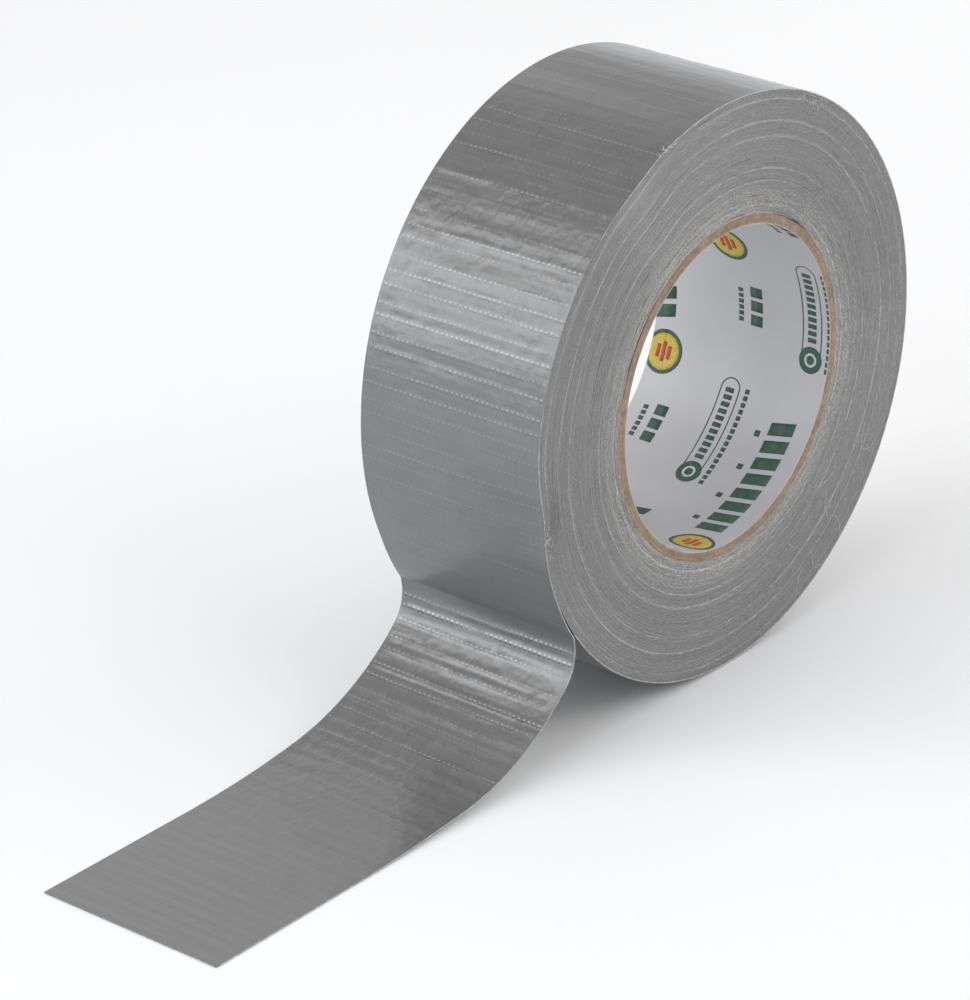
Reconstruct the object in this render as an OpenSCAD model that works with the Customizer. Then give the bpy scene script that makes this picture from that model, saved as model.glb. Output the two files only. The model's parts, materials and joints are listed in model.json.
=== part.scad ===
// Roll of cloth-backed repair tape standing on its edge, with a free tail laid on the surface.
// The core's axis is X, the tail runs towards -Y, and the origin is the centre of the core's bore.
// Angles round the roll are counted from +Y towards +Z.

/* [Roll] */
// Outside diameter of the wound roll
roll_d = 138; // [120:1:160]
// Width of the tape, and so of the whole roll
tape_w = 50; // [36:1:72]

/* [Core] */
// Diameter of the core's bore
bore_d = 76.2; // [70:0.1:80]
// Thickness of the printed paper that lines the bore
liner_t = 0.1; // [0.08:0.01:0.2]
// Thickness of one cardboard ply
ply_t = 0.55; // [0.4:0.05:0.7]

/* [Tape layers] */
// Thickness of the plastic film, on the outside
film_t = 0.1; // [0.08:0.01:0.15]
// Thickness of the woven cloth, in the middle
cloth_t = 0.06; // [0.05:0.01:0.1]
// Thickness of the adhesive, on the inside
adhesive_t = 0.09; // [0.07:0.01:0.15]

/* [Tail] */
// Angle round the roll at which the tail leaves it
peel_angle = 215; // [205:1:222]
// Radius of the sharp crease where the tail leaves the roll
crease_r = 1.5; // [1:0.1:3]
// Slope of the tail just below the crease, from horizontal
drop_slope = 97; // [85:1:100]
// Radius of the upper bend
upper_bend_r = 10.5; // [8:0.5:14]
// Slope of the tail below the upper bend
sweep_slope = 43; // [38:1:48]
// Radius of the long sweep down to the surface
sweep_r = 60; // [45:1:65]
// Slope of the tail where the touch-down curve begins
landing_slope = 7; // [5:1:9]
// Radius of the touch-down curve
landing_r = 300; // [200:10:320]
// Distance of the cut end from the core's axis
cut_reach = 173.5; // [165:0.5:200]
// Length of the stretch at the cut end that lifts off the surface
lift_len = 42; // [30:1:44]

/* [Clearances] */
// Gap between the roll's surface and the start of the tail
peel_gap = 0.1; // [0.08:0.01:0.3]
// Gap across the bend line between the tail and its lifting end
bend_gap = 0.1; // [0.08:0.01:0.3]

/* [Hidden] */
$fn = 180;

cut_through = 1;
arc_step = 3;
chord_max = 3;
roll_r = roll_d / 2;
bore_r = bore_d / 2;
core_r = bore_r + liner_t + 4 * ply_t;
film_in_r = roll_r - film_t;
cloth_in_r = film_in_r - cloth_t;
adhesive_in_r = cloth_in_r - adhesive_t;

// Each layer of the loose tape lies between two heights over its sticky face.
adhesive_span = [0, adhesive_t];
cloth_span = [adhesive_t, adhesive_t + cloth_t];
film_span = [adhesive_t + cloth_t, adhesive_t + cloth_t + film_t];
tape_t = adhesive_t + cloth_t + film_t;

// The tail's sticky face starts on the roll, follows the crease and a straight drop, and then three
// arcs bring it level with the surface. The drop's length makes the sum of the heights come out.
floor_z = -roll_r;
start_r = roll_r + peel_gap;
start_slope = peel_angle - 90;
start_y = start_r * cos(peel_angle);
start_z = start_r * sin(peel_angle);
function arc_fall(r, from, to) = r * (cos(to) - cos(from));
drop_len = (start_z - floor_z
            - arc_fall(crease_r, start_slope, drop_slope)
            - arc_fall(upper_bend_r, drop_slope, sweep_slope)
            - arc_fall(sweep_r, sweep_slope, landing_slope)
            - arc_fall(landing_r, landing_slope, 0)) / sin(drop_slope);
bend_y = lift_len - cut_reach;

// A point on the tail is [y, z, slope]. heading() is the way it runs, over() is up through its layers.
function heading(slope) = [-cos(slope), -sin(slope)];
function over(slope) = [-sin(slope), cos(slope)];
function at(p) = [p[0], p[1]];
function arc_point(p, r, slope) = let (c = at(p) + r * over(p[2]), q = c - r * over(slope))
    [q[0], q[1], slope];
function arc_count(r, turn) = ceil(max(turn / arc_step, r * turn * PI / 180 / chord_max));
function arc_points(p, r, to) = let (n = arc_count(r, p[2] - to))
    [for (i = [1:n]) arc_point(p, r, p[2] + (to - p[2]) * i / n)];
function straight(p, length) = let (q = at(p) + length * heading(p[2])) [q[0], q[1], p[2]];
function last(points) = points[len(points) - 1];

tail_start = [start_y, start_z, start_slope];
crease_points = arc_points(tail_start, crease_r, drop_slope);
drop_end = straight(last(crease_points), drop_len);
upper_points = arc_points(drop_end, upper_bend_r, sweep_slope);
sweep_points = arc_points(last(upper_points), sweep_r, landing_slope);
landing_points = arc_points(last(sweep_points), landing_r, 0);
tail_points = concat([tail_start], crease_points, [drop_end], upper_points, sweep_points,
                     landing_points, [[bend_y + bend_gap, floor_z, 0]]);

// A tube along X between two radii, as wide as the tape
module tube(inner_r, outer_r) {
    rotate([0, 90, 0])
        difference() {
            cylinder(h = tape_w, r = outer_r, center = true);
            cylinder(h = tape_w + 2 * cut_through, r = inner_r, center = true);
        }
}

// One cardboard ply of the core, counted from the bore outwards
module ply(index) {
    tube(bore_r + liner_t + (index - 1) * ply_t, bore_r + liner_t + index * ply_t);
}

// An outline in the YZ plane, drawn out along X to the tape's width
module across_tape() {
    rotate([90, 0, 90])
        linear_extrude(height = tape_w, center = true)
            children();
}

// One layer of the curved tail
module tail_layer(span) {
    lower = [for (p = tail_points) at(p) + span[0] * over(p[2])];
    upper = [for (i = [len(tail_points) - 1:-1:0]) at(tail_points[i]) + span[1] * over(tail_points[i][2])];
    across_tape()
        polygon(concat(lower, upper));
}

// One layer of the flat stretch at the cut end
module tail_end_layer(span) {
    across_tape()
        translate([-cut_reach, floor_z + span[0]])
            square([lift_len, span[1] - span[0]]);
}

module core_liner() {
    color("white")
        tube(bore_r, bore_r + liner_t);
}

module core_inner_ply() {
    color("burlywood")
        ply(1);
}

module core_second_ply() {
    color("tan")
        ply(2);
}

module core_third_ply() {
    color("burlywood")
        ply(3);
}

module core_outer_ply() {
    color("tan")
        ply(4);
}

module wound_tape() {
    color("gray")
        tube(core_r, adhesive_in_r);
}

module outer_turn_adhesive() {
    color("gainsboro")
        tube(adhesive_in_r, cloth_in_r);
}

module outer_turn_cloth() {
    color("lightgray")
        tube(cloth_in_r, film_in_r);
}

module outer_turn_film() {
    color("silver")
        tube(film_in_r, roll_r);
}

module tail_adhesive() {
    color("gainsboro")
        tail_layer(adhesive_span);
}

module tail_cloth() {
    color("lightgray")
        tail_layer(cloth_span);
}

module tail_film() {
    color("silver")
        tail_layer(film_span);
}

module tail_end_adhesive() {
    color("gainsboro")
        tail_end_layer(adhesive_span);
}

module tail_end_cloth() {
    color("lightgray")
        tail_end_layer(cloth_span);
}

module tail_end_film() {
    color("silver")
        tail_end_layer(film_span);
}

core_liner();
core_inner_ply();
core_second_ply();
core_third_ply();
core_outer_ply();
wound_tape();
outer_turn_adhesive();
outer_turn_cloth();
outer_turn_film();
tail_adhesive();
tail_cloth();
tail_film();
tail_end_adhesive();
tail_end_cloth();
tail_end_film();
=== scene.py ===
"""Looks of the duct tape roll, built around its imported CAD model.

The roll's axis is X, the free tail runs towards -Y, and the origin is the centre of the core's bore.
The row frame is in metres. Shapes are worked out in millimetres and scaled as they become meshes.
A place on the tape is (along, across): along is 0 at the crease where the tail leaves the roll, grows
towards the cut end, and is negative round the roll; across is measured from the middle of the tape.
"""

import json
import math

import bpy
import numpy as np
from mathutils import Matrix, Vector


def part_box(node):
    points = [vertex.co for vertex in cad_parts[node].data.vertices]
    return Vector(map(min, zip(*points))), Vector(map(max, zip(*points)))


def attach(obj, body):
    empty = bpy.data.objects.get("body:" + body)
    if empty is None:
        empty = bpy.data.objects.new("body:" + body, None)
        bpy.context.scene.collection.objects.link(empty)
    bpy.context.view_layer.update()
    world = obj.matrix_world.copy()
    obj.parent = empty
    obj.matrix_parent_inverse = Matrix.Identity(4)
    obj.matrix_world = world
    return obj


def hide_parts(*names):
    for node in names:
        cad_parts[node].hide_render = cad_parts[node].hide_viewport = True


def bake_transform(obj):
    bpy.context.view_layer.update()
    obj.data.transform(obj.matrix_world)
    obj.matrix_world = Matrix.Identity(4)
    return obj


MM = 0.001
SEED = 7

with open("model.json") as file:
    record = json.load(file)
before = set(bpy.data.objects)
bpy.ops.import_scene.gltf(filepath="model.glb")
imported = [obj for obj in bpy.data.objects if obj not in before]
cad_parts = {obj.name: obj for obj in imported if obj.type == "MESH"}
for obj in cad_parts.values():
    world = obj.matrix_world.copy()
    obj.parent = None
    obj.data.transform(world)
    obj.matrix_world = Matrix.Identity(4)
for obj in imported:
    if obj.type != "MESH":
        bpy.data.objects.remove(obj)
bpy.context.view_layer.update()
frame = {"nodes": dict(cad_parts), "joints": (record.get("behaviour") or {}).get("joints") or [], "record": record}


# -------- sizes, from the frame

def corner_mm(node, which):
    return [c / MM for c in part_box(node)[which]]


def node_points_mm(node):
    data = frame["nodes"][node].data
    points = np.empty(len(data.vertices) * 3)
    data.vertices.foreach_get("co", points)
    return points.reshape(-1, 3) / MM


HALF_W = corner_mm("wound_tape", 1)[0]
ROLL_R = -corner_mm("outer_turn_film", 0)[2]
PACK_R = -corner_mm("wound_tape", 0)[2]
CORE_R = -corner_mm("core_outer_ply", 0)[2]
LINER_OUT_R = -corner_mm("core_liner", 0)[2]
BORE_R = next(m["dims"]["r_mm"] for m in frame["record"]["mounts"] if m["name"] == "core_bore")
TAPE_T = ROLL_R - PACK_R
FLOOR_Z = corner_mm("tail_adhesive", 0)[2]
LIFT = next(j for j in frame["joints"] if j["name"] == "end_lift")
# Points of two nodes nearer than this are one point, in mm.
SAME_POINT = 0.004


def profile_points(node):
    """The (y, z) points of a node's right side."""
    points = node_points_mm(node)
    return np.unique(np.round(points[points[:, 0] > 0, 1:], 3), axis=0)


def tail_film_line():
    """The tail's film face as (y, z) points from the crease to the cut end: those that the cloth lacks."""
    film, cloth = (profile_points(node) for node in ("tail_film", "tail_cloth"))
    face = [tuple(p) for p in film if np.abs(cloth - p).max(1).min() > SAME_POINT]
    line = sorted(face, key=lambda p: (-round(p[1], 2), -p[0]))
    cut_end = (corner_mm("tail_end_film", 0)[1], corner_mm("tail_end_film", 1)[2])
    return np.array(line + [cut_end])


FILM_LINE = tail_film_line()
PEEL_R = float(np.hypot(*FILM_LINE[0]))
PEEL_ANGLE = math.atan2(FILM_LINE[0][1], FILM_LINE[0][0]) % (2 * math.pi)


# -------- seeded smooth noise

def random(seed):
    return np.random.default_rng(SEED * 1000 + seed)


def smooth(f):
    return f * f * (3 - 2 * f)


def noise_1d(t, seed, wrap=4096):
    """Smooth random values from -1 to 1, with one knot per unit of t."""
    knots = random(seed).uniform(-1, 1, wrap)
    i = np.floor(t).astype(int)
    f = smooth(t - i)
    return knots[i % wrap] * (1 - f) + knots[(i + 1) % wrap] * f


def noise_2d(u, v, seed, wrap=512):
    """Smooth random values from -1 to 1 at places u, v, which are arrays that fit each other's shape."""
    knots = random(seed).uniform(-1, 1, (wrap, wrap))
    i, j = np.floor(u).astype(int), np.floor(v).astype(int)
    f, g = smooth(u - i), smooth(v - j)
    low, high = (knots[i % wrap, k % wrap] * (1 - f) + knots[(i + 1) % wrap, k % wrap] * f
                 for k in (j, j + 1))
    return low * (1 - g) + high * g


def ramp(t, low, high):
    """0 below low and 1 above high, smooth between them."""
    return smooth(np.clip((t - low) / (high - low), 0, 1))


def hump(t, centre, half_width):
    return np.exp(-((t - centre) / half_width) ** 2)


# -------- meshes

def new_object(name, data):
    item = bpy.data.objects.new(name, data)
    bpy.context.scene.collection.objects.link(item)
    return item


def mesh_piece(name, points_mm, faces, material, sharp_deg=35, uv=None):
    """A smooth-shaded mesh object. uv holds one pair per point, for the map named tape."""
    data = bpy.data.meshes.new(name)
    points = np.asarray(points_mm, float) * MM
    sizes = np.array([len(f) for f in faces])
    flat = np.concatenate(faces)
    data.vertices.add(len(points))
    data.vertices.foreach_set("co", points.ravel())
    data.loops.add(len(flat))
    data.loops.foreach_set("vertex_index", flat.astype(np.int32))
    data.polygons.add(len(sizes))
    starts = np.concatenate([[0], np.cumsum(sizes)[:-1]])
    data.polygons.foreach_set("loop_start", starts.astype(np.int32))
    data.polygons.foreach_set("loop_total", sizes.astype(np.int32))
    data.update(calc_edges=True)
    data.validate()
    data.polygons.foreach_set("use_smooth", np.ones(len(sizes), bool))
    data.set_sharp_from_angle(angle=math.radians(sharp_deg))
    if uv is not None:
        layer = data.uv_layers.new(name="tape")
        layer.data.foreach_set("uv", np.asarray(uv, float)[flat].ravel())
    data.materials.append(material)
    return new_object(name, data)


def grid_quads(rows, columns, first=0, close_rows=False, close_columns=False, flip=False):
    """Quads between the points of a grid whose point (i, j) is number first + i * columns + j."""
    i = np.arange(rows if close_rows else rows - 1)
    j = np.arange(columns if close_columns else columns - 1)
    i, j = (g.ravel() for g in np.meshgrid(i, j, indexing="ij"))
    i2, j2 = (i + 1) % rows, (j + 1) % columns
    quads = np.stack([i * columns + j, i2 * columns + j, i2 * columns + j2, i * columns + j2], 1) + first
    return quads[:, ::-1] if flip else quads


# -------- materials

def new_material(name, **settings):
    material = bpy.data.materials.new(name)
    material.use_nodes = True
    shader = material.node_tree.nodes["Principled BSDF"]
    for socket, value in settings.items():
        shader.inputs[socket.replace("_", " ")].default_value = value
    return material, material.node_tree, shader


def add(tree, kind, **settings):
    node = tree.nodes.new(kind)
    for key, value in settings.items():
        if key in node.inputs:
            node.inputs[key].default_value = value
        else:
            setattr(node, key, value)
    return node


def feed(value, socket):
    """Give a socket a Value, another socket, a number or a colour."""
    if isinstance(value, Value):
        value = value.socket
    if isinstance(value, (int, float)):
        socket.default_value = value
    elif isinstance(value, tuple):
        socket.default_value = (*value, 1)
    else:
        socket.id_data.links.new(value, socket)


class Value:
    """A number in a node tree, to be added, multiplied and so on like any other."""

    def __init__(self, socket):
        self.tree, self.socket = socket.id_data, socket

    def apply(self, operation, *others, clamp=False):
        node = add(self.tree, "ShaderNodeMath", operation=operation, use_clamp=clamp)
        for socket, value in zip(node.inputs, (self, *others)):
            feed(value, socket)
        return Value(node.outputs[0])

    def __add__(self, other):
        return self.apply("ADD", other)

    def __sub__(self, other):
        return self.apply("SUBTRACT", other)

    def __mul__(self, other):
        return self.apply("MULTIPLY", other)

    def clamped(self, factor):
        """This value times a factor, kept from 0 to 1."""
        return self.apply("MULTIPLY", factor, clamp=True)

    def bell(self, centre, half_width):
        """1 where this value is centre, falling to 0 on both sides of it."""
        away = (self - centre).apply("DIVIDE", half_width)
        return (away * away * -1.0).apply("EXPONENT")

    def mapped(self, start, end, low=0.0, high=1.0, **settings):
        """low where this value is start and high where it is end."""
        node = add(self.tree, "ShaderNodeMapRange", **settings)
        for socket, value in zip(node.inputs, (self, start, end, low, high)):
            feed(value, socket)
        return Value(node.outputs[0])


def scaled_noise(place, scale, detail=2.0, roughness=0.5):
    """Noise from 0 to 1 over place times scale, which is one number or three."""
    tree = place.id_data
    mapping = add(tree, "ShaderNodeMapping")
    mapping.inputs["Scale"].default_value = scale if isinstance(scale, tuple) else (scale, scale, scale)
    feed(place, mapping.inputs["Vector"])
    noise = add(tree, "ShaderNodeTexNoise", Scale=1.0, Detail=detail, Roughness=roughness)
    feed(mapping.outputs[0], noise.inputs["Vector"])
    return Value(noise.outputs["Fac"])


def ramp_colours(factor, *stops):
    """A colour ramp with stops (place, (r, g, b))."""
    node = add(factor.tree, "ShaderNodeValToRGB")
    while len(node.color_ramp.elements) < len(stops):
        node.color_ramp.elements.new(0.5)
    for element, (place, colour) in zip(node.color_ramp.elements, stops):
        element.position = place
        element.color = (*colour, 1)
    feed(factor, node.inputs["Fac"])
    return node.outputs["Color"]


def mix_colours(factor, a, b, mode="MIX"):
    node = add(factor.tree, "ShaderNodeMix", data_type="RGBA", blend_type=mode)
    for index, value in ((0, factor), (6, a), (7, b)):
        feed(value, node.inputs[index])
    return node.outputs[2]


def bump(shader, height, strength, distance_mm):
    node = add(height.tree, "ShaderNodeBump", Strength=strength, Distance=distance_mm * MM)
    feed(height, node.inputs["Height"])
    feed(node.outputs[0], shader.inputs["Normal"])


def tape_place(tree):
    """The tape map's place as a vector, in millimetres: across, along, 0."""
    return add(tree, "ShaderNodeUVMap", uv_map="tape").outputs[0]


def split_place(place):
    """The three numbers of a place, each on its own."""
    split = add(place.id_data, "ShaderNodeSeparateXYZ")
    feed(place, split.inputs[0])
    return [Value(socket) for socket in split.outputs]


def object_place(tree):
    return add(tree, "ShaderNodeTexCoord").outputs["Object"]


def mesh_values(tree, *names):
    """Numbers kept in the mesh by keep_values."""
    return [Value(add(tree, "ShaderNodeAttribute", attribute_name=name).outputs["Fac"]) for name in names]


# Distances between the cloth's threads along and across the tape, and heights of the film's bumps, in mm.
WEFT_PITCH = 3.64
WARP_PITCH = 1.41
DOT_HEIGHT = 0.034
RIB_HEIGHT = 0.014
RIPPLE_HEIGHT = 0.20
PEEL_HEIGHT = 0.25
LINE_HEIGHT = 0.065
DOT_SHARPNESS = 4.0
# Greys of the film for each tone.
FILM_GREYS = ((0.0, 0.108), (0.3, 0.148), (0.5, 0.167), (0.72, 0.190), (1.0, 0.25))
# Painted highlight on the film where a row of the cloth crosses a warp thread, and painted shade just below it.
PAINTED_GLINT_COLOUR = (0.52, 0.52, 0.52)
PAINTED_SHADE_COLOUR = (0.085, 0.085, 0.087)


def film_material():
    """Silver-grey polyethylene: a soft metallic grey with a clear gloss, the cloth faint under it, and painted
    highlights and shade at the cloth's rows.
    """
    material, tree, shader = new_material("silver_film", Metallic=0.35, IOR=1.5, Coat_Roughness=0.15)
    place = tape_place(tree)
    away, row, painted_fold_shading, loose = mesh_values(tree, "away", "row", "painted_fold_shading", "loose")
    cloudy = scaled_noise(place, (0.12, 0.16, 1), 3)
    streaks = scaled_noise(place, (0.05, 2.2, 1), 3, 0.6)
    threads = scaled_noise(place, (1 / WARP_PITCH * 1.4, 0.25, 1), 2)
    # The fold term in the tone is painted light and shade: lighter on the folds' crests, darker in their hollows
    # and just below the crease.
    tone = cloudy * 0.45 + streaks * 0.35 + threads * 0.2 + painted_fold_shading * 0.30
    colour = ramp_colours(tone, *((at, (grey, grey, grey)) for at, grey in FILM_GREYS))

    across = split_place(place)[0]
    warp = (across * (2 * math.pi / WARP_PITCH)).apply("COSINE")
    dots = (warp * 0.499 + 0.5).apply("POWER", DOT_SHARPNESS)
    # Painted highlight where a row crosses a warp thread and painted shade just below it, mixed into the base
    # colour; the crossing also raises the gloss and the bumps.
    crossing = away.bell(0, 0.23) * dots * row
    shade = away.bell(0.42, 0.22) * (dots * 0.65 + 0.35) * row
    colour = mix_colours(crossing.clamped(0.7), colour, PAINTED_GLINT_COLOUR)
    colour = mix_colours(shade.clamped(0.85), colour, PAINTED_SHADE_COLOUR)
    shine = crossing.clamped(1.2)
    feed(colour, shader.inputs["Base Color"])
    feed(cloudy * 0.16 + 0.27 - shine * 0.1, shader.inputs["Roughness"])
    feed(shine * 0.45 + 0.55, shader.inputs["Coat Weight"])

    ripples = scaled_noise(place, (0.06, 0.42, 1), 1.5, 0.45)
    peel = scaled_noise(place, (0.5, 0.42, 1), 1.2, 0.45)
    patchy = scaled_noise(place, (0.22, 0.3, 1), 1)
    lines = scaled_noise(place, (0.03, 1.0, 1), 1.5, 0.5)
    lifted = (ripples * RIPPLE_HEIGHT + peel * PEEL_HEIGHT + warp * patchy * RIB_HEIGHT) * loose
    bump(shader, lifted + lines * LINE_HEIGHT + crossing * DOT_HEIGHT, 1.0, 1.0)
    return material


def sticky_material():
    """Pale grey rubber adhesive with the cloth's grid pressed into it."""
    material, tree, shader = new_material("sticky_side", Roughness=0.38, Coat_Weight=0.25, Coat_Roughness=0.3)
    place = tape_place(tree)
    across, along, _ = split_place(place)

    def threads(distance, pitch, sharpness):
        wave = (distance * (2 * math.pi / pitch)).apply("SINE")
        return (wave * 0.5 + 0.5).apply("POWER", sharpness)

    grid = threads(across, WARP_PITCH, 3.0).apply("MAXIMUM", threads(along, WEFT_PITCH, 6.0))
    blotch = scaled_noise(place, (0.35, 0.35, 1), 3)
    colour = ramp_colours(grid * 0.35 + blotch * 0.6, (0.2, (0.34, 0.345, 0.34)), (0.8, (0.56, 0.56, 0.54)))
    feed(colour, shader.inputs["Base Color"])
    bump(shader, grid + blotch * 0.5, 0.5, 0.06)
    return material


def edge_material():
    """The wound tape's cut edges: film, pale cloth and adhesive in fine layers. Its map is (along, turn)."""
    material, tree, shader = new_material("tape_edges", Roughness=0.6)
    place = tape_place(tree)
    fuzz, sheen, pale = mesh_values(tree, "fuzz", "sheen", "pale")
    layers = scaled_noise(place, (0.02, 0.6, 1), 3, 0.7)
    specks = scaled_noise(place, (1.7, 1.4, 1), 2, 0.7)
    dashes = scaled_noise(place, (0.55, 1.2, 1), 2, 0.6)
    grain = scaled_noise(object_place(tree), 2400, 2, 0.6)
    contrast = layers * 0.26 + specks * 0.26 + dashes * 0.28 + grain * 0.20 - 0.5
    thread = (dashes - 0.28).clamped(1.5)
    # The sheen term is painted light and shade on the cut edges, by angle round the roll.
    tone = contrast * (fuzz * 0.7 + 1.3) + 0.5 + sheen * 0.10 + fuzz * 0.06 + pale * thread * 0.46
    colour = ramp_colours(tone, (0.26, (0.090, 0.090, 0.090)), (0.5, (0.212, 0.211, 0.210)),
                          (0.72, (0.43, 0.427, 0.42)), (0.95, (0.72, 0.72, 0.71)))
    colour = mix_colours(fuzz * 0.35, colour, (1.0, 0.965, 0.92), "MULTIPLY")
    feed(colour, shader.inputs["Base Color"])
    bump(shader, specks + grain * 0.8, 0.6, 0.08)
    return material


def board_material(name, base, dark):
    """Kraft board: brown fibres, lighter flecks."""
    material, tree, shader = new_material(name, Roughness=0.9)
    place = object_place(tree)
    fibres = scaled_noise(place, (1500, 900, 900), 4, 0.7)
    blotch = scaled_noise(place, 120)
    spots = scaled_noise(place, 420, 2, 0.6)
    tone = fibres * 0.5 + blotch * 0.2 + spots * 0.3
    colour = ramp_colours(tone, (0.34, dark), (0.56, base), (0.72, tuple(1.3 * c for c in base)))
    feed(colour, shader.inputs["Base Color"])
    bump(shader, fibres, 0.6, 0.12)
    return material


def paper_material():
    """Smooth white liner paper with a faint cool tint."""
    material, tree, shader = new_material("liner_paper", Roughness=0.42, Coat_Weight=0.15,
                                          Coat_Roughness=0.35)
    place = object_place(tree)
    cloud = scaled_noise(place, 60, 3)
    colour = ramp_colours(cloud, (0.3, (0.50, 0.50, 0.525)), (0.7, (0.54, 0.54, 0.562)))
    feed(colour, shader.inputs["Base Color"])
    bump(shader, scaled_noise(place, 1800), 0.2, 0.02)
    return material


def speckled_material(name, roughness, scale, dark, light):
    """A colour with fine speckles, from dark to light, each (tone, colour)."""
    material, tree, shader = new_material(name, Roughness=roughness)
    tone = scaled_noise(object_place(tree), scale)
    feed(ramp_colours(tone, dark, light), shader.inputs["Base Color"])
    return material


def painted_gap_shade_material():
    """Near-black painted shade on the outside of the core, standing for the shade in the gaps where the tape has
    lifted off it.
    """
    dark, light = (0.010, 0.009, 0.008), (0.045, 0.040, 0.036)
    return speckled_material("core_gap_painted_shade", 0.6, 900, (0.35, dark), (0.7, light))


def ink_material(name, colour):
    light = tuple(min(1.0, 1.3 * c + 0.02) for c in colour)
    return speckled_material(name, 0.5, 1500, (0.3, colour), (0.75, light))


def thread_material():
    dark, light = (0.52, 0.52, 0.50), (0.74, 0.74, 0.72)
    return speckled_material("cotton_thread", 0.85, 2500, (0.3, dark), (0.7, light))


# -------- the film's relief

# Heights in mm of the rows over the weft threads, and of the folds where the tail bends.
ROW_HEIGHT = 0.06
FOLD_HEIGHT = 0.16
# How far a row reaches from its thread, and where its painted highlight dots and the painted shade below them are,
# in mm.
ROW_REACH = 1.8
DOTS_FROM, DOTS_TO = -0.55, 1.0
# The film lies down on the tape's own edges over this width, in mm.
EDGE_WIDTH = 3


def row_places(first, last):
    """Where the weft threads lie along the tape, with each one's number."""
    numbers = np.arange(math.floor(first / WEFT_PITCH), math.ceil(last / WEFT_PITCH) + 1)
    shift = 0.22 * noise_1d(numbers * 1.37 + 500, 11)
    return [(int(n), (n + s) * WEFT_PITCH) for n, s in zip(numbers, shift)]


def film_relief(along, across, loose, ridges=None):
    """The film's height over its mean surface in mm at each place, and what its material needs to draw it.

    The cloth's weft threads lift the film in rows. The material paints a small highlight, with painted shade
    below it, where a row crosses a warp thread: it needs the distance from the row in mm and the row's
    strength. It also gets painted light and shade that follow the rows and folds, and painted shade below the
    crease. loose is how far the film has lifted off the cloth, from 0 to 1. ridges is the height of
    the folds that a bent stretch of tape has at its weft threads.
    """
    u, v = along[:, None], across[None, :]
    height = np.zeros((len(along), len(across)))
    row_away = np.ones_like(height)
    row_strength = np.zeros_like(height)
    painted_fold_shading = np.zeros_like(height)
    for number, place in row_places(along[0], along[-1]):
        near = np.abs(along - place) < ROW_REACH
        if not near.any():
            continue
        strength = 0.36 + 0.8 * abs(noise_1d(np.array([number * 0.83 + 90]), 12)[0])
        patch = np.clip(0.7 + 0.6 * noise_1d(v / 8 + number * 3.7, 13), 0.12, 1.15)
        away = u[near] - place - 0.10 * noise_1d(v / 14 + number * 2.1, 14)
        ridge = (0.4 + 0.6 * patch) * (hump(away, 0, 0.42) - 0.8 * hump(away, -1.1, 0.5))
        if ridges is None:
            height[near] += strength * ROW_HEIGHT * ridge
            # Painted light on the row's crest and painted shade in the hollow before it, where the film is loose.
            painted_fold_shading[near] += 0.8 * strength * ridge * loose[near][:, None]
        else:
            fold = (0.35 + 0.65 * strength) * (0.7 + 0.3 * patch) * (hump(away, 0.3, 0.95) - 0.43)
            height[near] += 0.5 * strength * ROW_HEIGHT * ridge + ridges[near][:, None] * fold
            # Painted light and shade that follow the tail's folds.
            painted_fold_shading[near] += fold * (0.25 + 0.75 * ridges[near] / FOLD_HEIGHT)[:, None]
        row_away[near] = np.where(np.abs(away) < 1.2, away, row_away[near])
        drawn = (away > DOTS_FROM) & (away < DOTS_TO)
        row_strength[near] = np.where(drawn, np.clip(strength * patch, 0, 1), row_strength[near])

    def bumps(long, wide, shift, seed):
        """Bumps about this long and wide in mm."""
        return noise_2d(u / long + 300, v / wide + shift, seed)

    sway = bumps(9, 12, 30, 24)
    ripples = 0.14 * bumps(1.6, 30, 40, 15) + 0.21 * bumps(4.2, 44, 40, 16)
    mottle = 0.04 * bumps(1.5, 1.7, 60, 17) + 0.06 * bumps(2.8, 3.2, 60, 18)
    broad = 0.10 * bumps(17, 40, 20, 20)
    loose = loose[:, None]
    if ridges is None:
        seen = loose + 0.15
    else:
        mottle = mottle * 0.9
        # Painted highlight where the tail's folds are high, over its bend, and painted shade in the first few mm
        # below the crease.
        painted_fold_shading += (1.45 * ridges / FOLD_HEIGHT - 0.65 - 0.9 * (1 - ramp(along, 0.5, 3.5)))[:, None]
        seen = 3.6 * ridges[:, None] / FOLD_HEIGHT - 1.5
    height = (height + ripples * (0.9 + 0.4 * sway) + mottle * (0.9 + 0.6 * sway)) * loose
    height += broad * (0.4 + 0.6 * loose)
    height *= 1 - 0.88 * ramp(np.abs(v), HALF_W - EDGE_WIDTH, HALF_W)
    row = row_strength * np.clip(seen, 0, 2)
    return height, {"away": row_away, "row": row, "painted_fold_shading": painted_fold_shading, "loose": np.broadcast_to(loose, row.shape)}


ROW_GAP = 0.12


def film_rows(first, last, offsets):
    """Places along the tape for a mesh's rows, set close at each weft thread but not within ROW_GAP."""
    places = [first, last]
    for _, place in row_places(first, last):
        places += [place + d for d in offsets]
    places = np.unique(np.clip(places, first, last))
    keep = np.concatenate([[True], np.diff(places) > ROW_GAP])
    keep[-1] = True
    if places[-1] - places[-2] < ROW_GAP:
        keep[-2] = False
    return places[keep]


# -------- the outermost turn

TURN_LENGTH = 2 * math.pi * ROLL_R
TURN_COLUMNS = 121
# Where mesh rows lie from each weft thread, in mm.
TURN_ROWS = (-0.9, -0.36, 0, 0.36, 1.2, 2.3)
# The turn's hidden face and the pack below it lie this far under the film, clear of the film's dips.
INNER_DEPTH = 0.7
# The film's mean radius, low enough for its relief to turn under the tail without touching it.
SURFACE_R = ROLL_R - 0.24
# The turn rises to the tail over this angle before the crease.
RISE_ANGLE = math.radians(14)
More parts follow.
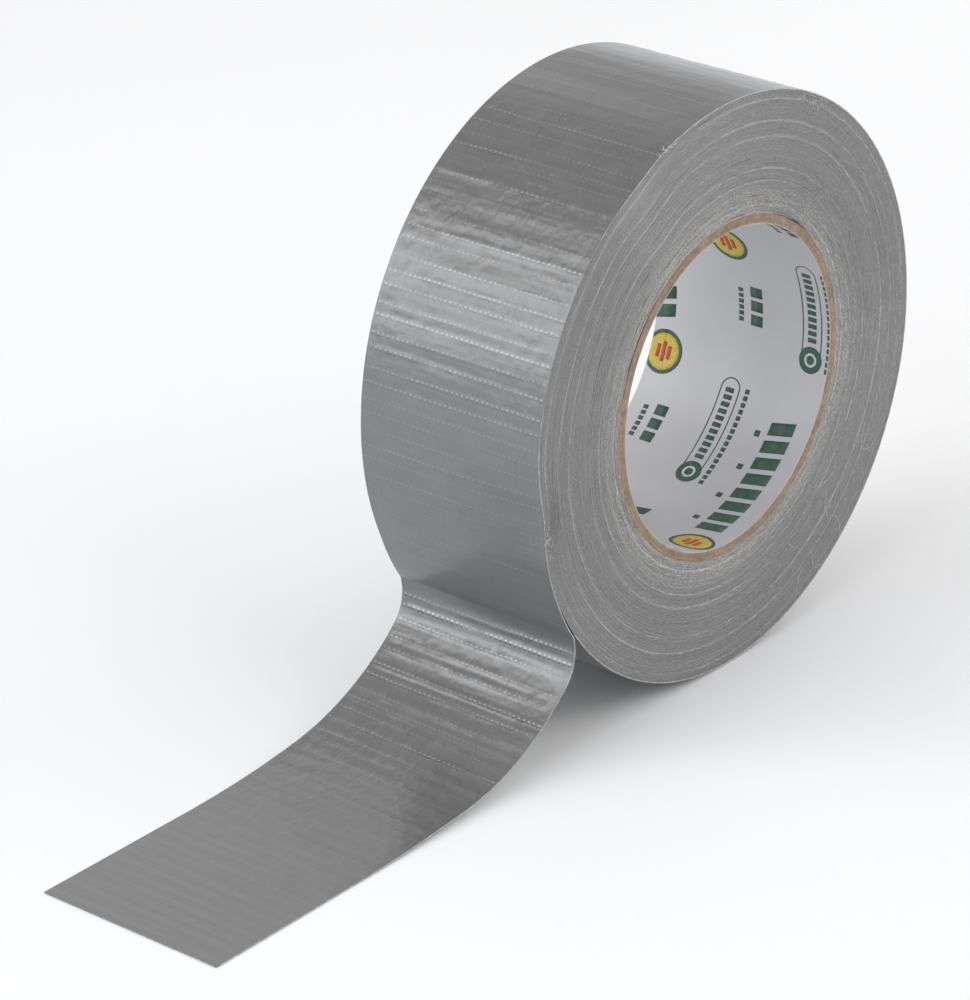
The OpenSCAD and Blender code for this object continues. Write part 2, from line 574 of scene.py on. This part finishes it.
# Depths of the two dents in mm, and their places round the roll: centre and half width in degrees.
FRONT_DENT, FRONT_DENT_PLACE = 1.7, (187, 9)
TOP_DENT, TOP_DENT_PLACE = 0.6, (120, 7)


def dent(angle, across):
    """How far the outermost turns are pressed in, in mm. The right side was knocked, not the left."""
    deg = np.degrees(angle) % 360
    depth = FRONT_DENT * hump(deg, *FRONT_DENT_PLACE) + TOP_DENT * hump(deg, *TOP_DENT_PLACE)
    return depth * ramp(across, 0, HALF_W)


def turn_angle(along):
    """The angle round the roll of a place on the outermost turn, from +Y towards +Z."""
    return PEEL_ANGLE + along / ROLL_R


def round_roll(x, radius, angle):
    """Points at x along the roll's axis and radius from it."""
    return np.stack([x, radius * np.cos(angle), radius * np.sin(angle)], -1)


def turn_radius(angle, across):
    """The film's mean radius, which rises to meet the tail."""
    rise = (PEEL_R - SURFACE_R) * ramp(angle, PEEL_ANGLE - RISE_ANGLE, PEEL_ANGLE)
    return SURFACE_R + rise - dent(angle, across)


def looseness(angle):
    """How far the film has lifted off the cloth: tight near the crease, loose on the upper front."""
    deg = np.degrees(angle)
    loose = 0.2 + 0.8 * ramp(-deg, -173, -165) * ramp(deg, 101, 121) + 0.35 * hump(deg, 76, 14)
    other = 0.45 + 0.35 * noise_1d(deg / 31 + 40, 21)
    return np.where(deg > 88, loose, other * ramp(-deg, -92, -60) + 0.25 * (1 - ramp(-deg, -92, -60)))


def outer_turn(film, sticky, edges):
    """The last turn of tape on the roll, as one closed strip from the crease back round to under it."""
    along = film_rows(-TURN_LENGTH, 0, TURN_ROWS)
    across = np.linspace(-HALF_W, HALF_W, TURN_COLUMNS)
    angle = turn_angle(along)
    height, drawn = film_relief(along, across, looseness(angle))
    radius = turn_radius(angle[:, None], across[None, :]) + height
    edge_wave = 0.06 * noise_1d(along / 23, 22)[:, None]
    outside = round_roll(across[None, :] + edge_wave, radius, angle[:, None])
    inner_across = across[::TURN_COLUMNS // 10]
    depth = np.full(len(inner_across), INNER_DEPTH)
    depth[[0, -1]] = TAPE_T
    inner = turn_radius(angle[:, None], inner_across[None, :]) - depth
    inside = round_roll(inner_across[None, :] + edge_wave, inner, angle[:, None])
    piece = closed_strip("outer_turn", outside, inside, along, across, inner_across, (film, sticky, edges))
    keep_values(piece, **drawn)
    return piece


def keep_values(piece, **grids):
    """Keep numbers for a material in its mesh. They belong to the mesh's first points."""
    for name, grid in grids.items():
        values = np.zeros(len(piece.data.vertices))
        values[:grid.size] = grid.ravel()
        piece.data.attributes.new(name, "FLOAT", "POINT").data.foreach_set("value", values)


def closed_strip(name, top, under, along, top_across, under_across, materials):
    """A closed strip of tape from its film face and its sticky face, which have the same number of rows.

    The materials are for the film face, the sticky face with the long edges, and the cut ends.
    """
    rows, columns, few = top.shape[0], top.shape[1], under.shape[1]
    points = np.concatenate([top.reshape(-1, 3), under.reshape(-1, 3)])
    first = rows * columns
    i = np.arange(rows - 1)
    high, under_high = columns - 1, few - 1
    low_side = np.stack([i * columns, first + i * few, first + (i + 1) * few, (i + 1) * columns], 1)
    high_side = np.stack([i * columns + high, (i + 1) * columns + high,
                          first + (i + 1) * few + under_high, first + i * few + under_high], 1)
    end, end_under = high_side[-1, 1], first + (rows - 1) * few
    start_cut = [*range(columns), *range(first + under_high, first - 1, -1)]
    end_cut = [*range(end, end - columns, -1), *range(end_under, end_under + few)]
    groups = ((grid_quads(rows, columns), 0), (grid_quads(rows, few, first, flip=True), 1),
              (low_side, 1), (high_side, 1), ([start_cut], 2), ([end_cut], 2))
    faces = [face for group, _ in groups for face in group]
    slots = np.concatenate([np.full(len(group), slot) for group, slot in groups])
    uv = np.concatenate([np.stack(np.meshgrid(along, line, indexing="ij")[::-1], 2).reshape(-1, 2)
                         for line in (top_across, under_across)])
    piece = mesh_piece(name, points, faces, materials[0], 50, uv)
    for material in materials[1:]:
        piece.data.materials.append(material)
    piece.data.polygons.foreach_set("material_index", slots.astype(np.int32))
    return piece


# -------- the free tail

TAIL_COLUMNS = 142
UNDER_COLUMNS = 37
TAIL_ROWS = (-1.5, -1.1, -0.7, -0.4, -0.2, 0, 0.2, 0.4, 0.7, 1.1, 1.5)
TAIL_SKEW = 0.55
# The stretched tape is this part narrower beyond the crease.
TAIL_NARROWING = 0.012


def resampled(line, step):
    """A smooth line through the points, as places along it, its points and its unit normals."""
    lengths = np.concatenate([[0], np.cumsum(np.hypot(*np.diff(line, axis=0).T))])
    fine = np.append(np.arange(0, lengths[-1], step), lengths[-1])
    y, z = (np.interp(fine, lengths, line[:, k]) for k in (0, 1))
    width = max(1, round(1.0 / step))
    kernel = np.hanning(2 * width + 3)[1:-1]
    kernel /= kernel.sum()

    def rounded(values):
        ends = (2 * values[0] - values[width:0:-1], values, 2 * values[-1] - values[-2:-width - 2:-1])
        return np.convolve(np.concatenate(ends), kernel, "valid")

    y, z = rounded(y), rounded(z)
    run = np.stack([np.gradient(y), np.gradient(z)], 1)
    run /= np.linalg.norm(run, axis=1)[:, None]
    return fine, np.stack([y, z], 1), np.stack([run[:, 1], -run[:, 0]], 1)


def free_tail(film, sticky, edges):
    """The peeled tail, from the crease down to the surface and along it to the straight cut."""
    fine, line, over = resampled(FILM_LINE, 0.1)
    length = fine[-1]
    along = film_rows(0, length, TAIL_ROWS)
    across = np.linspace(-HALF_W, HALF_W, TAIL_COLUMNS)
    under_across = np.linspace(-HALF_W, HALF_W, UNDER_COLUMNS)
    y, z, over_y, over_z = (np.interp(along, fine, column)[:, None] for column in (*line.T, *over.T))
    loose = 0.3 + 0.6 * ramp(along, 1, 5) * (1 - 0.72 * ramp(along, 36, 70))
    ridges = FOLD_HEIGHT * (0.42 + 0.58 * ramp(along, 0.5, 4.5) * (1 - ramp(along, 28, 62)))
    height, drawn = film_relief(along, across, loose, ridges)
    start = ramp(along, 0, 1.5)[:, None]
    lie_down = (0.45 + 0.55 * (1 - ramp(along, 60, 90)))[:, None]
    narrow = 1 - TAIL_NARROWING * ramp(along, 5, 40)[:, None]

    height = height * start * lie_down
    top_z = np.maximum(z + tail_skew(along, across), FLOOR_Z + TAPE_T)
    top = np.stack([across * narrow, y + over_y * height, top_z + over_z * height], 2)

    below = film_relief(along, under_across, loose, ridges)[0] * start * lie_down - TAPE_T
    under_z = np.maximum(z + over_z * below + tail_skew(along, under_across), FLOOR_Z)
    under = np.stack([under_across * narrow, y + over_y * below, under_z], 2)
    piece = closed_strip("free_tail", top, under, along, across, under_across, (film, sticky, edges))
    drawn["loose"] = drawn["loose"] * lie_down
    keep_values(piece, **drawn)
    return piece, length


def tail_skew(along, across):
    """The tail hangs a little askew: its right edge comes down sooner than its left. Heights in mm."""
    return -TAIL_SKEW * hump(along, 34, 20)[:, None] * across[None, :] / HALF_W


# -------- the wound tape's edges

TURN_STEPS = 360
# Radii of the turns whose cloth shows pale, in mm.
PALE_LAYERS = (42.6, 48.1, 51.1, 58.3, 61.9, 66.8)
# Gaps beside the core: centre and half width in degrees, height in mm.
CORE_GAPS = ((54, 7, 0.85), (148, 12, 0.6), (262, 14, 0.2))
# How deep the top dent goes at these radii, in mm.
TOP_DENT_RADII = (CORE_R, 50, 61, ROLL_R)
TOP_DENT_DEPTHS = (0, 0.8, 1.4, TOP_DENT)


def side_of_pack(name, sign, material, seed):
    """Half of the wound tape, with its cut edges on one side as one spiral of raised layers."""
    turns = int((SURFACE_R - CORE_R) / TAPE_T)
    pitch = (SURFACE_R - CORE_R) / turns
    count = turns * TURN_STEPS
    n = np.arange(count)
    turn = n / TURN_STEPS
    angle = PEEL_ANGLE - 2 * math.pi + (turn - (count - 1) / TURN_STEPS) * 2 * math.pi
    deg = np.degrees(angle) % 360
    outer = SURFACE_R - (turns - (n + 1) / TURN_STEPS) * pitch
    along = 2 * math.pi * np.cumsum(outer) / TURN_STEPS
    fuzz = 1 - ramp(outer, CORE_R + 3.5, CORE_R + 8)
    pale = pale_turns(outer, deg, along, seed)

    wander = 0.035 * noise_1d(turn / 6.3, seed) + 0.03 * noise_1d(turn / 1.9, seed + 1)
    wander += 0.035 * noise_1d(turn * 2.7, seed + 2) + 0.02 * noise_1d(turn * 9.1, seed + 3)
    wander += 0.07 * pale + 0.05 * (1 + fuzz) * noise_1d(turn * 80, seed + 4)
    wander -= wander.mean()
    depth = 0.05 + 0.02 * noise_1d(turn * 4.3, seed + 5)

    press = FRONT_DENT * hump(deg, *FRONT_DENT_PLACE) * ramp(outer, 60, ROLL_R)
    press += hump(deg, *TOP_DENT_PLACE) * np.interp(outer, TOP_DENT_RADII, TOP_DENT_DEPTHS)
    press *= sign > 0
    lift = sum(size * hump(deg, centre, width) for centre, width, size in CORE_GAPS)
    lift *= (0.75 + 0.4 * noise_1d(deg / 2.3, seed + 6, 156)) * np.exp(-turn / 2.2)
    shown = outer - press + lift
    groove = round_roll(sign * (HALF_W + wander - depth), shown - pitch, angle)
    ridge = round_roll(sign * (HALF_W + wander), shown - 0.3 * pitch, angle)
    points = np.concatenate([groove, ridge])

    inner_loop = [*range(TURN_STEPS + 1), count]
    outer_loop = [*range(2 * count - TURN_STEPS - 1, 2 * count), count - 1]
    sunk = 1 - INNER_DEPTH / ROLL_R
    shoulder = [p * (1, sunk, sunk) - (sign * INNER_DEPTH, 0, 0) for p in points[outer_loop]]
    middle = [p * (0, 1, 1) for p in points[inner_loop]] + [p * (0, sunk, sunk) for p in points[outer_loop]]
    faces = pack_faces(count, np.array(inner_loop), np.array(outer_loop))
    if sign > 0:
        faces = faces[:, ::-1]
    layer_number = np.round(turn - 0.5)
    uv = np.concatenate([np.stack([along, layer_number], 1), np.stack([along, layer_number + 0.4], 1)])
    uv = np.concatenate([uv, uv[inner_loop], uv[outer_loop], uv[outer_loop]])
    piece = mesh_piece(name, np.concatenate([points, middle, shoulder]), faces, material, 80, uv)
    # Painted light and shade on the cut edges, by angle round the roll: lighter round 100 and 121 degrees, darker
    # round 35 degrees and away from the core.
    sheen = 0.5 * hump(deg, 121, 9) + 0.35 * hump(deg, 100, 25) + 0.15 * noise_1d(deg / 20, seed + 7, 18)
    sheen -= 0.3 * hump(deg, 35, 50) + 0.15 * (1 - fuzz)
    keep_values(piece, pale=np.tile(pale, 2), fuzz=np.tile(fuzz, 2), sheen=np.tile(sheen, 2))
    return piece


def pale_turns(outer, deg, along, seed):
    """How much pale cloth shows, along a few turns that wander a little and are worn in places."""
    pale = np.zeros(len(outer))
    for k, layer_r in enumerate(PALE_LAYERS):
        drift = 0.25 * noise_1d(deg / 40 + 9 * k, seed + 9, 9)
        worn = np.clip(0.55 + 0.6 * noise_1d(along / 21 + 31 * k, seed + 10), 0.12, 1)
        pale += hump(outer - layer_r - drift, 0, 0.24) * worn
    return pale


def pack_faces(count, inner_loop, outer_loop):
    """Faces over the points of the groove, the ridge, the middle's inner and outer loops and the shoulder."""
    i = np.arange(count - 1)
    layer = np.stack([i, i + 1, count + i + 1, count + i], 1)
    i = np.arange(count - TURN_STEPS - 1)
    step = np.stack([count + i, count + i + 1, i + TURN_STEPS + 1, i + TURN_STEPS], 1)
    inner, outer, shoulder = 2 * count + np.arange(3 * len(inner_loop)).reshape(3, -1)

    def wall(one, other):
        """Quads between two closed loops of points."""
        return np.stack([np.roll(one, -1), one, other, np.roll(other, -1)], 1)

    return np.concatenate([layer, step, wall(inner_loop, inner), wall(shoulder, outer_loop),
                           wall(outer, shoulder), wall(inner, outer)])


# -------- the core and its liner

RING_STEPS = 360
# Each ply is this much thinner on both faces, and its ends are rounded by this much, in mm.
PLY_GAP = 0.015
PLY_ROUNDING = 0.07


def ring_solid(name, outline, material, wobble, sharp_deg):
    """A closed ring turned from an outline of (x, radius) points, which wobble(angle, x, radius) changes."""
    angle = np.linspace(0, 2 * math.pi, RING_STEPS, endpoint=False)[:, None]
    x, radius = wobble(angle, *(np.tile(column, (RING_STEPS, 1)) for column in np.array(outline, float).T))
    faces = grid_quads(RING_STEPS, len(outline), close_rows=True, close_columns=True)
    return mesh_piece(name, round_roll(x, radius, angle).reshape(-1, 3), faces, material, sharp_deg)


def ply_ring(node, material, seed):
    """One cardboard ply: its cut ends are a little uneven and fuzzy."""
    half = corner_mm(node, 1)[0]
    radii = np.hypot(*node_points_mm(node)[:, 1:].T)
    inner, outer = radii.min() + PLY_GAP, radii.max() - PLY_GAP
    soft = PLY_ROUNDING
    ends = [(half - soft, inner), (half, inner + soft), (half, (inner + outer) / 2), (half, outer - soft),
            (half - soft, outer)]
    outline = ends + [(-x, r) for x, r in reversed(ends)]

    def wobble(angle, x, radius):
        turns = angle / (2 * math.pi) * RING_STEPS
        lip = np.abs(x) > half - soft / 2
        uneven = 0.05 * noise_2d(turns / 3, radius * 4 + 7, seed, 120)
        uneven = uneven + 0.05 * noise_1d(turns / 20, seed + 1, 18)
        return x + np.sign(x) * lip * (uneven - 0.06), radius

    return ring_solid(node + "_board", outline, material, wobble, 60)


def cover_outer_wall(ring, material):
    """Give a ring's outer wall another material."""
    ring.data.materials.append(material)
    radii = np.array([math.hypot(*face.center[1:]) for face in ring.data.polygons])
    outside = radii > radii.max() - 0.02 * MM
    ring.data.polygons.foreach_set("material_index", outside.astype(np.int32))


# The spiral seam's millimetres round the bore for each one along it.
SEAM_SLOPE = 1.35


def liner_tube(material):
    """The printed paper, with the faint step of its spiral seam."""
    half = HALF_W - 0.05
    inside = [(x, BORE_R) for x in np.linspace(-half, half, 64)]
    outside = [(half, LINER_OUT_R), (-half, LINER_OUT_R)]

    def wobble(angle, x, radius):
        around = (angle * BORE_R + x * SEAM_SLOPE) % (2 * math.pi * BORE_R)
        seam = 0.05 * hump(around, 30, 0.7)
        wave = 0.012 * noise_2d(angle * 6 / (2 * math.pi) * 4, x / 9 + 30, 51, 24)
        on_bore = radius < BORE_R + 0.01
        return x, radius + on_bore * (seam + wave)

    return ring_solid("printed_liner", inside + outside, material, wobble, 40)


# -------- the liner's printing

PRINT_HALF_W = HALF_W - 0.15
INK_LIFT = 0.02
INK_STEP = 1.0


class Print:
    """Flat shapes gathered in (around, x) millimetres and wrapped on the liner as one thin piece."""

    def __init__(self):
        self.points, self.faces = [], []

    def grid(self, places):
        """A patch whose places are a grid of (around, x) pairs. Nothing is printed past the paper's edges."""
        places = np.asarray(places, float)
        if np.abs(places[..., 1]).min() > PRINT_HALF_W:
            return
        places[..., 1] = np.clip(places[..., 1], -PRINT_HALF_W, PRINT_HALF_W)
        rows, columns = places.shape[:2]
        self.faces += [tuple(q) for q in grid_quads(rows, columns, len(self.points))]
        self.points += [tuple(p) for p in places.reshape(-1, 2)]

    def bar(self, around, x, length, width, lean=0.0):
        """A bar that runs round the bore, with its ends leaning by lean."""
        steps = max(2, math.ceil(length / INK_STEP) + 1)
        run = np.linspace(around, around + length, steps)
        self.grid([[(a, x), (a + lean, x + width)] for a in run])

    def bars(self, count, pitch, around, *bar, **lean):
        """Equal bars, one pitch apart round the bore."""
        for k in range(count):
            self.bar(around + pitch * k, *bar, **lean)

    def band(self, path, width):
        """A line of that width along a closed path of (around, x) points."""
        path = np.asarray(path, float)
        run = np.roll(path, -1, 0) - np.roll(path, 1, 0)
        side = np.stack([-run[:, 1], run[:, 0]], 1) / np.linalg.norm(run, axis=1)[:, None] * width / 2
        rows = np.stack([path - side, path + side], 1)
        self.grid(np.concatenate([rows, rows[:1]]))

    def disc(self, around, x, radius, inner=0.02):
        """A disc or ring."""
        turns = np.linspace(0, 2 * math.pi, 32)
        radii = np.linspace(inner, radius, math.ceil((radius - inner) / INK_STEP) + 1)
        self.grid([[(around + r * math.cos(t), x + r * math.sin(t)) for r in radii] for t in turns])

    def piece(self, name, material, layer):
        places = np.array(self.points)
        radius = BORE_R - INK_LIFT * layer
        angle = places[:, 0] / BORE_R
        piece = mesh_piece(name, round_roll(places[:, 1], radius, angle), self.faces, material)
        thicken = piece.modifiers.new("ink", "SOLIDIFY")
        thicken.thickness = 0.5 * INK_LIFT * MM
        thicken.offset = 0
        return piece


def pill_path(around, x, length, height):
    """A rounded outline, as points about INK_STEP apart."""
    r = height / 2
    straight = np.arange(0, length - height, INK_STEP)
    turn = np.linspace(-90, 90, 12)
    arc = [(r * math.cos(math.radians(t)), r * math.sin(math.radians(t))) for t in turn]
    half = [(around + r + s, x) for s in straight[1:]]
    half += [(around + length - r + a, x + r + b) for a, b in arc]
    return half + [(2 * around + length - a, 2 * x + height - b) for a, b in half]


def label(inks, around, row):
    """One repeat of the print: a round badge, a band of blocks, a pill of short bars and two short lines."""
    green, red, yellow, white = inks
    badge = around + 2
    green.disc(badge, row - 1, 5.4, 4.5)
    yellow.disc(badge, row - 1, 4.5)
    for length, x in ((3.2, row - 3.1), (4.8, row - 1.55), (3.2, row)):
        red.bar(badge - length / 2, x, length, 1.1)
    green.bars(8, 4.5, around + 9.5, row - 6, 3.2, 6.6, lean=1.3)
    green.bars(4, 9, around + 13, row - 9.4, 1.5, 1.5)
    pill = around + 58
    green.band(pill_path(pill, row - 2.6, 28, 5.2), 0.32)
    green.disc(pill + 2.8, row, 3.2)
    white.disc(pill + 2.8, row, 1.7, 1.1)
    green.bars(11, 1.75, pill + 7, row - 1.2, 1.15, 2.4)
    green.bars(16, 1.65, pill + 0.5, row + 4.2, 1.15, 1.25)
    short = around + 99.5
    green.bars(6, 1.5, short + 0.4, row - 1.1, 1.05, 1.4)
    green.bars(3, 3.6, short, row + 2.4, 2.7, 3.4)


# -------- loose threads

# Tufts and burrs at the right rim: how many, depths below the film, degrees and their spread, lengths,
# radius, curl, and how far they stand out at most. Sizes are in mm.
RIM_TUFTS = (
    (34, (0.3, 3.0), (64, 2.4), (0.8, 2.6), 0.04, 1.5, 1.2),
    (16, (0.0, 0.9), (110, 1.4), (0.6, 1.8), 0.05, 1.3, 1.0),
    (12, (1.4, 3.2), (192, 2.5), (0.8, 2.2), 0.05, 0.5, 0.8),
)
LINT_GAP = 0.05
# Lint on the cut edges: how many, radii on the roll, degrees, lengths, then as above.
LONG_LINT = (7, (ROLL_R - 17, ROLL_R - 2), (296, 332), (7, 14), 0.032, 0.16, 0.2)
FINE_LINT = (
    (90, (CORE_R + 0.4, CORE_R + 6), (0, 360), (0.5, 1.6), 0.02, 0.8, 0.5),
    (60, (CORE_R + 6, ROLL_R - 0.3), (0, 360), (0.5, 2.0), 0.018, 0.5, 0.5),
    (5, (CORE_R + 10, ROLL_R - 3), (0, 360), (4, 8), 0.02, 0.2, 0.12),
)


def tube(path, radius, sides=5):
    """Points and faces of a thin closed thread along a path."""
    path = np.asarray(path, float)
    run = np.gradient(path, axis=0)
    run /= np.linalg.norm(run, axis=1)[:, None]
    side = np.cross(run, (0.31, 0.52, 0.79))
    side /= np.linalg.norm(side, axis=1)[:, None]
    other = np.cross(run, side)
    turn = np.linspace(0, 2 * math.pi, sides, endpoint=False)
    taper = np.minimum(1, np.minimum(np.arange(len(path)), np.arange(len(path))[::-1]) * 0.5 + 0.35)
    points = path[:, None] + radius * taper[:, None, None] * (
        np.cos(turn)[None, :, None] * side[:, None] + np.sin(turn)[None, :, None] * other[:, None])
    faces = [tuple(q) for q in grid_quads(len(path), sides, close_columns=True)]
    last = (len(path) - 1) * sides
    faces += [tuple(range(sides)), tuple(last + sides - 1 - k for k in range(sides))]
    return points.reshape(-1, 3), faces


def loose_threads(material):
    """Cotton ends that stand out of the cut edges: a tuft at the top of the rim, burrs, and fine lint."""
    rng = random(70)
    points, faces = [], []

    def wandering(start, heading, length, curl):
        steps = max(6, int(length / 0.25))
        path = [start]
        bend = rng.normal(0, curl, 3)
        for _ in range(steps):
            bend += rng.normal(0, curl * 0.35, 3)
            heading = heading + bend * length / steps
            heading /= np.linalg.norm(heading)
            path.append(path[-1] + heading * length / steps)
        return np.array(path)

    def at_edge(sign, radius, deg, length, thickness, curl, stand):
        """A thread over the cut edges, that stands out no more than stand."""
        angle = math.radians(deg)
        out = round_roll(0, 1, angle)
        round_it = np.cross((1, 0, 0), out)
        heading = sign * np.array([0.4, 0, 0]) + out * rng.normal(0, 0.5) + round_it * rng.choice([-1, 1])
        path = wandering(round_roll(sign * (HALF_W + LINT_GAP), radius, angle), heading, length, curl)
        path[:, 0] = sign * np.clip(sign * path[:, 0], HALF_W + LINT_GAP, HALF_W + stand)
        more, quads = tube(path, thickness)
        faces.extend(tuple(len(points) + i for i in q) for q in quads)
        points.extend(more)

    for count, depths, (centre, spread), lengths, *rest in RIM_TUFTS:
        for _ in range(count):
            radius, deg = ROLL_R - rng.uniform(*depths), centre + rng.normal(0, spread)
            at_edge(1, radius, deg, rng.uniform(*lengths), *rest)
    for sign, groups in ((1, (LONG_LINT, *FINE_LINT)), (-1, FINE_LINT)):
        for count, radii, degrees, lengths, *rest in groups:
            for _ in range(count):
                at_edge(sign, rng.uniform(*radii), rng.uniform(*degrees), rng.uniform(*lengths), *rest)
    return mesh_piece("loose_threads", np.array(points), faces, material, 80)


# -------- camera, lights, floor

CAMERA_AZIMUTH = 40.11
CAMERA_ELEVATION = 25.16
CAMERA_ROLL = -0.96
CAMERA_DISTANCE = 1.053
CAMERA_LENS = 166.7
AIM_LEFT = 0.0358
AIM_DOWN = 0.0314


def direction(azimuth, elevation):
    """The unit vector at an azimuth from +X towards +Y and an elevation, both in degrees."""
    azimuth, elevation = math.radians(azimuth), math.radians(elevation)
    return Vector((math.cos(azimuth) * math.cos(elevation), math.sin(azimuth) * math.cos(elevation),
                   math.sin(elevation)))


def make_camera():
    back, level = direction(CAMERA_AZIMUTH - 90, CAMERA_ELEVATION), direction(CAMERA_AZIMUTH, 0)
    roll = math.radians(CAMERA_ROLL)
    right = math.cos(roll) * level + math.sin(roll) * back.cross(level)
    up = back.cross(right)
    data = bpy.data.cameras.new("camera")
    data.lens = CAMERA_LENS
    data.sensor_width = 36
    data.clip_start, data.clip_end = 0.05, 20
    camera = new_object("camera", data)
    place = back * CAMERA_DISTANCE - right * AIM_LEFT - up * AIM_DOWN
    camera.matrix_world = Matrix.Translation(place) @ Matrix((right, up, back)).transposed().to_4x4()
    bpy.context.scene.camera = camera


LIGHT_DISTANCE = 1.3
WHITE = (1, 1, 1)
KEY_COLOUR = (0.972, 0.985, 1.0)
FRONT_COLOUR = (0.83, 0.915, 1.0)
# name: azimuth and elevation in degrees, width and height in metres, watts, colour
SOFTBOXES = {
    "key_wide": (230, 24.5, 1.00, 0.86, 3.95, KEY_COLOUR),
    "key_middle": (229, 25, 0.50, 0.55, 0.55, KEY_COLOUR),
    "key_core": (229, 28, 0.16, 0.36, 0.40, KEY_COLOUR),
    "key_top": (243, 50, 0.62, 0.40, 1.7, KEY_COLOUR),
    "front": (272, 28, 0.62, 0.62, 3.0, FRONT_COLOUR),
    "back": (90, 28, 0.80, 0.62, 2.6, WHITE),
    "right_back": (45, 28, 1.10, 0.62, 3.8, WHITE),
    "right": (0, 38, 0.62, 0.95, 2.45, WHITE),
    "left_back": (150, 28, 0.62, 0.62, 0.7, WHITE),
}
WORLD_HORIZON = 1.0
WORLD_ZENITH = 0.53
HORIZON_COLOUR = (0.942, 0.968, 1.0)
ZENITH_COLOUR = (1.0, 0.972, 0.948)
FLOOR_COLOURS = ((0.937, 0.944, 0.957), (0.956, 0.963, 0.976))
# The floor fades into the horizon's light between these distances from the roll, in metres.
FLOOR_FADE = (0.5, 1.35)
# It lies this far under the roll's lowest point, in metres.
FLOOR_GAP = 0.00012


def softbox(name, azimuth, elevation, width, height, watts, colour):
    away = direction(azimuth, elevation)
    data = bpy.data.lights.new(name, "AREA")
    data.shape = "RECTANGLE"
    data.size, data.size_y = width, height
    data.energy = watts
    data.color = colour
    lamp = new_object(name, data)
    lamp.location = away * LIGHT_DISTANCE
    lamp.rotation_mode = "QUATERNION"
    lamp.rotation_quaternion = away.to_track_quat("Z", "Y")
    lamp.visible_camera = False


def make_world():
    """Light from all round, brightest at the horizon."""
    world = bpy.data.worlds.new("studio")
    world.use_nodes = True
    tree = world.node_tree
    upward = split_place(add(tree, "ShaderNodeTexCoord").outputs["Generated"])[2]
    background = tree.nodes["Background"]
    feed(ramp_colours(upward, (0.05, HORIZON_COLOUR), (0.6, ZENITH_COLOUR)), background.inputs["Color"])
    feed(upward.mapped(0.02, 0.42, WORLD_HORIZON, WORLD_ZENITH), background.inputs["Strength"])
    bpy.context.scene.world = world


def make_floor():
    """A pale floor that fades into the horizon."""
    floor_material, tree, shader = new_material("pale_floor", Roughness=0.75)
    place = object_place(tree)
    colour = ramp_colours(scaled_noise(place, 3), (0.3, FLOOR_COLOURS[0]), (0.7, FLOOR_COLOURS[1]))
    distance = add(tree, "ShaderNodeVectorMath", operation="LENGTH")
    feed(place, distance.inputs[0])
    faded = Value(distance.outputs["Value"]).mapped(*FLOOR_FADE, interpolation_type="SMOOTHSTEP")
    feed(mix_colours(faded, colour, (0, 0, 0)), shader.inputs["Base Color"])
    feed(HORIZON_COLOUR, shader.inputs["Emission Color"])
    feed(faded, shader.inputs["Emission Strength"])
    feed(faded * -0.5 + 0.5, shader.inputs["Specular IOR Level"])
    bpy.ops.mesh.primitive_plane_add(size=12, location=(0, 0, FLOOR_Z * MM - FLOOR_GAP))
    floor = bpy.context.object
    floor.name = "floor"
    floor.data.materials.append(floor_material)


# -------- the whole roll

def build():
    film, sticky, edges = film_material(), sticky_material(), edge_material()
    kraft, dark_kraft = (0.35, 0.255, 0.178), (0.19, 0.133, 0.088)

    turn = outer_turn(film, sticky, edges)
    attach(turn, "roll")
    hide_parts("outer_turn_film", "outer_turn_cloth", "outer_turn_adhesive")

    for name, sign, seed in (("wound_turns_right", 1, 30), ("wound_turns_left", -1, 40)):
        side = side_of_pack(name, sign, edges, seed)
        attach(side, "roll")
        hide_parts("wound_tape")

    for k, node in enumerate(("core_inner_ply", "core_second_ply", "core_third_ply", "core_outer_ply")):
        shade = 1.0 - 0.1 * (k % 2)
        board = board_material(node + "_kraft", tuple(shade * c for c in kraft), dark_kraft)
        ring = ply_ring(node, board, 60 + 3 * k)
        if node == "core_outer_ply":
            # The outer ply's outer wall is near-black: painted shade in the gaps beside the core.
            cover_outer_wall(ring, painted_gap_shade_material())
        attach(ring, "roll")
        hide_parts(node)

    liner = liner_tube(paper_material())
    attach(liner, "roll")
    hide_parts("core_liner")

    inks = [Print() for _ in range(4)]
    around = 2 * math.pi * BORE_R
    for k, row in enumerate((-20, 0, 20)):
        for repeat in range(2):
            label(inks, -68 + 34.5 * (k - 2) + repeat * around / 2, row)
    colours = (("green", (0.028, 0.085, 0.055)), ("red", (0.42, 0.05, 0.025)), ("yellow", (0.50, 0.38, 0.05)),
               ("white", (0.52, 0.52, 0.545)))
    for layer, ink, (colour_name, colour) in zip((1, 3, 2, 3), inks, colours):
        piece = ink.piece("liner_print_" + colour_name, ink_material("ink_" + colour_name, colour), layer)
        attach(piece, "roll")

    threads = loose_threads(thread_material())
    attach(threads, "roll")

    tail, length = free_tail(film, sticky, edges)
    bend_y = LIFT["pos_m"][1]
    bend_y - 0.03
    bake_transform(tail)
    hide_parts("tail_film", "tail_cloth", "tail_adhesive", "tail_end_film", "tail_end_cloth",
                "tail_end_adhesive")


make_camera()
make_world()
for light, numbers in SOFTBOXES.items():
    softbox(light, *numbers)
make_floor()
build()
bpy.context.scene.view_settings.view_transform = "Standard"
